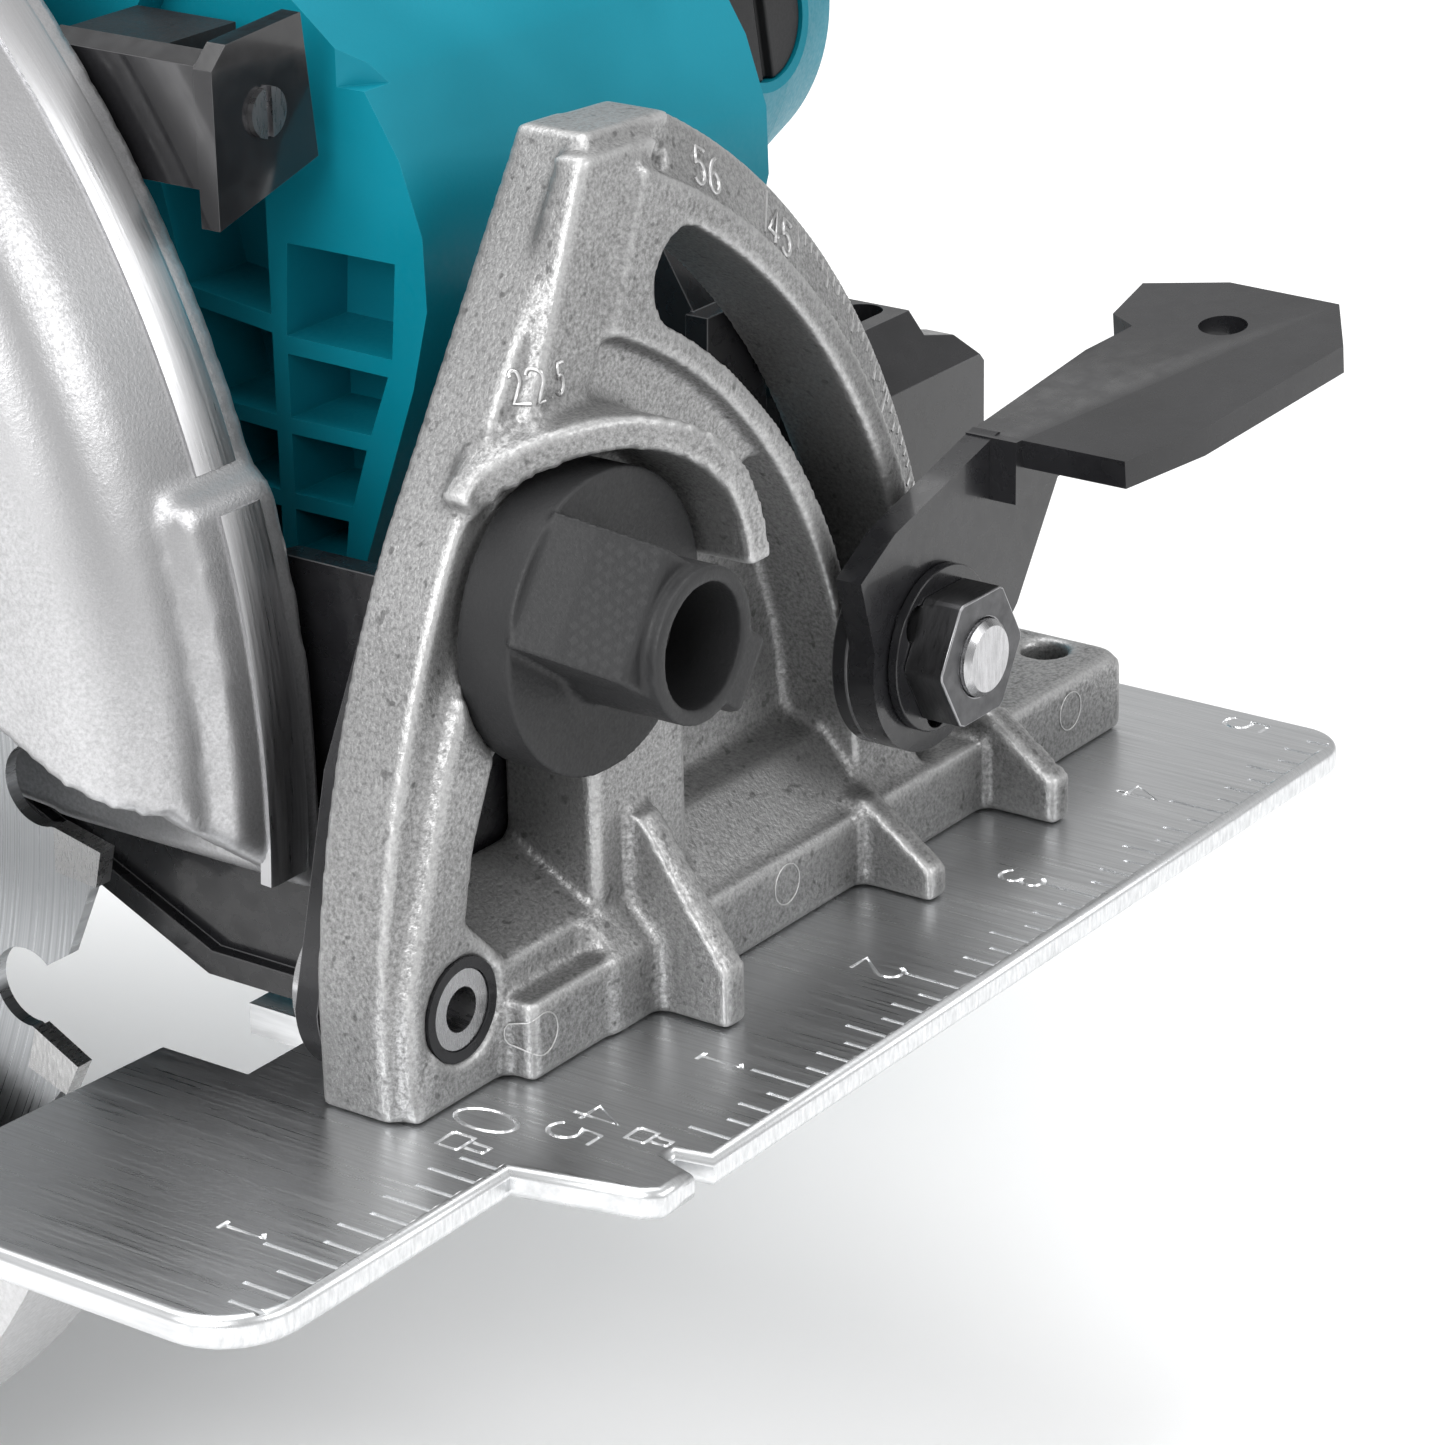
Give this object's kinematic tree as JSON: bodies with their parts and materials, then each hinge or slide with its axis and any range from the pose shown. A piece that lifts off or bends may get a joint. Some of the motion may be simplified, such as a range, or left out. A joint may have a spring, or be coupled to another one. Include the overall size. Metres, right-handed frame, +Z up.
{
  "type": "circular saw",
  "caption": "Corded hand circular saw: round blade under a cast guard, side motor, D handle, and a flat sole with a slotted bevel quadrant, stop dial and clamp lever.",
  "frame": {"origin": "underside of the sole, on the zero-degree cut line, at the front edge of the strip on the blade side", "axes": "+Z up from the sole, -Y the cutting direction, +X towards the motor"},
  "size_m": [0.2395, 0.2872, 0.2473],
  "materials": {
    "sole_aluminium": "brushed",
    "cast_quadrant": "sand blasted",
    "cast_guard": "sand blasted, ground edge",
    "lower_guard_silver": "satin",
    "black_moulding": "fine texture",
    "charcoal_moulding": "fine texture",
    "black_rubber": "matte",
    "teal_moulding": "satin",
    "black_paint": "satin",
    "dark_plate": "gloss",
    "blade_steel": "brushed",
    "carbide": "ground",
    "bright_steel": "turned",
    "dark_steel": "oiled",
    "cast_case": "as cast",
    "pale_moulding": "moulded",
    "lamination": "laminated",
    "copper": "turned",
    "brass_tube": "drawn",
    "carbon": "pressed"
  },
  "bodies": {
    "sole": {"base_plate": "sole_aluminium", "bevel_quadrant": "cast_quadrant", "quadrant_rivets": "bright_steel", "rear_bracket": "black_paint", "rear_bracket_rivets": "bright_steel", "front_pivot_rivet": "bright_steel", "pivot_washer": "black_moulding", "rear_pivot_pin": "bright_steel"},
    "stop_dial": {"stop_knob": "charcoal_moulding", "knob_screw": "dark_steel"},
    "frame": {"tilt_frame": "black_paint", "frame_lug": "black_paint", "depth_hinge_pin": "bright_steel", "bevel_bolt": "dark_steel", "rear_arm": "black_paint", "depth_guide": "black_paint"},
    "clamp_lever": {"bevel_lever": "dark_plate", "lever_washer": "dark_plate", "toothed_retainer": "dark_plate", "bevel_nut": "dark_steel"},
    "saw_body": {"upper_guard": "cast_guard", "gear_housing": "cast_case", "motor_housing": "teal_moulding", "motor_end_cover": "teal_moulding", "field_stator": "lamination", "front_brush_cap": "charcoal_moulding", "rear_brush_cap": "charcoal_moulding", "brush_holders": "brass_tube", "carbon_brushes": "carbon", "handle_left": "teal_moulding", "handle_right": "teal_moulding", "handle_screws": "dark_steel", "front_grip": "black_moulding", "switch_body": "black_moulding", "cord_inlet": "black_rubber", "depth_bolt": "dark_steel", "armature_bearings": "bright_steel", "spindle_bearings": "bright_steel", "lock_guide": "dark_steel"},
    "blade_assembly": {"saw_blade": "blade_steel", "carbide_tips": "carbide", "inner_flange": "bright_steel", "outer_flange": "bright_steel", "blade_bolt": "dark_steel", "spindle": "bright_steel", "drive_gear": "bright_steel"},
    "armature": {"armature_core": "lamination", "commutator": "copper", "cooling_fan": "pale_moulding", "armature_shaft": "bright_steel"},
    "guard": {"lower_guard": "lower_guard_silver", "guard_lever": "black_moulding"},
    "trigger": {"trigger": "black_moulding"},
    "spindle_lock": {"lock_button": "dark_plate", "lock_pin": "dark_steel"},
    "depth_clamp": {"depth_lever": "dark_plate"}
  },
  "joints": [
    {"name": "stop_turn", "type": "hinge", "parent": "sole", "child": "stop_dial", "pos_m": [0.0236, 0.01, 0.0456], "axis": [0, -1, 0], "range_deg": [-60, 90]},
    {"name": "bevel", "type": "hinge", "parent": "sole", "child": "frame", "pos_m": [0.0066, 0.0236, 0.0121], "axis": [0, -1, 0], "range_deg": [0, 48]},
    {"name": "bevel_clamp", "type": "hinge", "parent": "frame", "child": "clamp_lever", "pos_m": [0.07546, 0.007, 0.02674], "axis": [0, -1, 0], "range_deg": [-25, 18]},
    {"name": "depth", "type": "hinge", "parent": "frame", "child": "saw_body", "pos_m": [0.058, 0.041, 0.074], "axis": [1, 0, 0], "range_deg": [0, 34]},
    {"name": "blade_spin", "type": "hinge", "parent": "saw_body", "child": "blade_assembly", "pos_m": [0, 0.141, 0.0285], "axis": [1, 0, 0], "continuous": true},
    {"name": "motor_spin", "type": "hinge", "parent": "saw_body", "child": "armature", "pos_m": [0.09, 0.1276, 0.054], "axis": [1, 0, 0], "continuous": true},
    {"name": "guard_swing", "type": "hinge", "parent": "saw_body", "child": "guard", "pos_m": [0.006, 0.141, 0.0285], "axis": [1, 0, 0], "range_deg": [0, 125], "stiffness_Nm_per_rad": 0.35, "springref_deg": -68.75},
    {"name": "trigger_pull", "type": "slide", "parent": "saw_body", "child": "trigger", "axis": [0, 1, 0], "range_m": [0, 0.004], "stiffness_N_per_m": 800, "springref_m": -0.003},
    {"name": "spindle_lock_push", "type": "slide", "parent": "saw_body", "child": "spindle_lock", "axis": [0, 1, 0], "range_m": [0, 0.003], "stiffness_N_per_m": 600, "springref_m": -0.003},
    {"name": "depth_clamp_turn", "type": "hinge", "parent": "saw_body", "child": "depth_clamp", "pos_m": [0.013, 0.22471, 0.0449], "axis": [1, 0, 0], "range_deg": [-40, 20]}
  ],
  "couplings": [
    {"joint": "motor_spin", "follows": "blade_spin", "ratio": -5}
  ]
}
